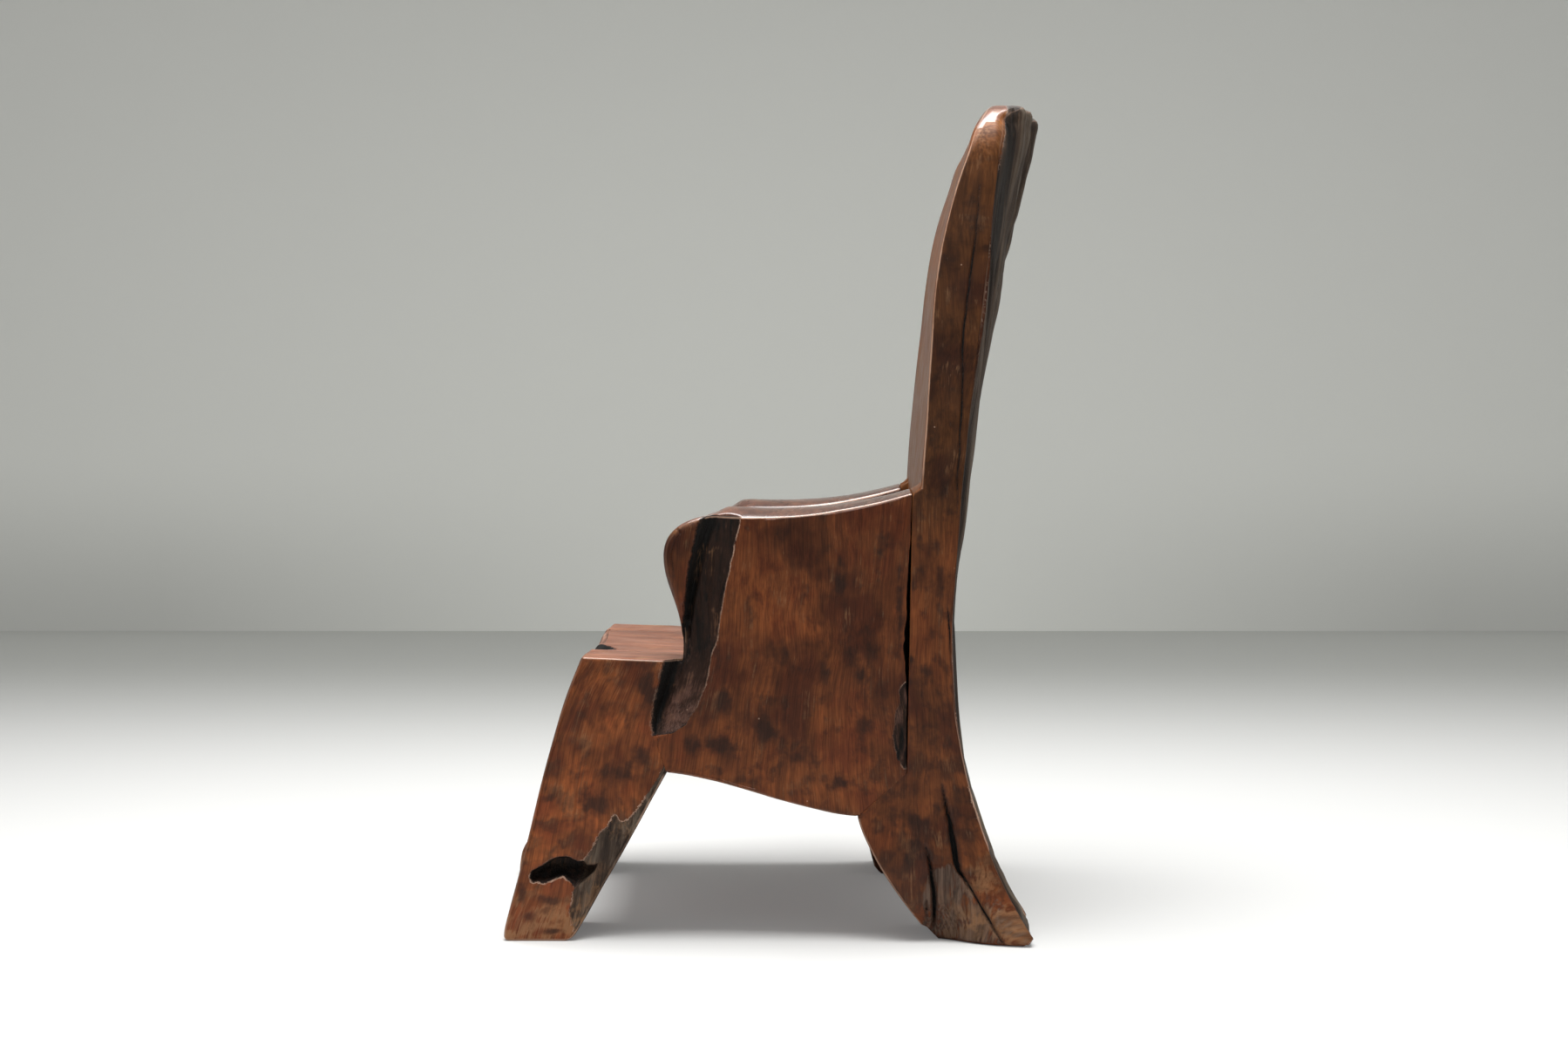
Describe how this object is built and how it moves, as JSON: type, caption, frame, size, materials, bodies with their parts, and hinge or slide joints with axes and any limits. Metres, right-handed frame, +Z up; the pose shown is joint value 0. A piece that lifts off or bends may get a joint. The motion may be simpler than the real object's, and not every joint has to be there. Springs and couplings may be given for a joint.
{
  "type": "wooden armchair",
  "caption": "High-backed armchair of thick hewn hardwood: a back on splayed rear legs, solid side panels with domed arms, a slab seat and leaning block front legs, held by blind pegs.",
  "frame": {"origin": "on the floor, below the middle of the chair's box", "axes": "+Z up, the chair faces -Y, the sitter's left is +X"},
  "size_m": [0.7056, 0.81, 1.166],
  "materials": {
    "hewn_hardwood": "dark waxed hardwood, planed outside, weathered at the rear",
    "seat_hardwood": "worn and polished hardwood",
    "peg_wood": "plain turned hardwood"
  },
  "bodies": {
    "root": {"back": "hewn_hardwood", "seat": "seat_hardwood", "left_front_leg": "hewn_hardwood", "right_front_leg": "hewn_hardwood", "left_side_panel": "hewn_hardwood", "right_side_panel": "hewn_hardwood", "left_leg_peg_lower": "peg_wood", "left_leg_peg_upper": "peg_wood", "left_back_peg_lower": "peg_wood", "left_back_peg_upper": "peg_wood", "left_seat_peg_front": "peg_wood", "left_seat_peg_middle": "peg_wood", "left_seat_peg_rear": "peg_wood", "right_leg_peg_lower": "peg_wood", "right_leg_peg_upper": "peg_wood", "right_back_peg_lower": "peg_wood", "right_back_peg_upper": "peg_wood", "right_seat_peg_front": "peg_wood", "right_seat_peg_middle": "peg_wood", "right_seat_peg_rear": "peg_wood"}
  },
  "joints": []
}
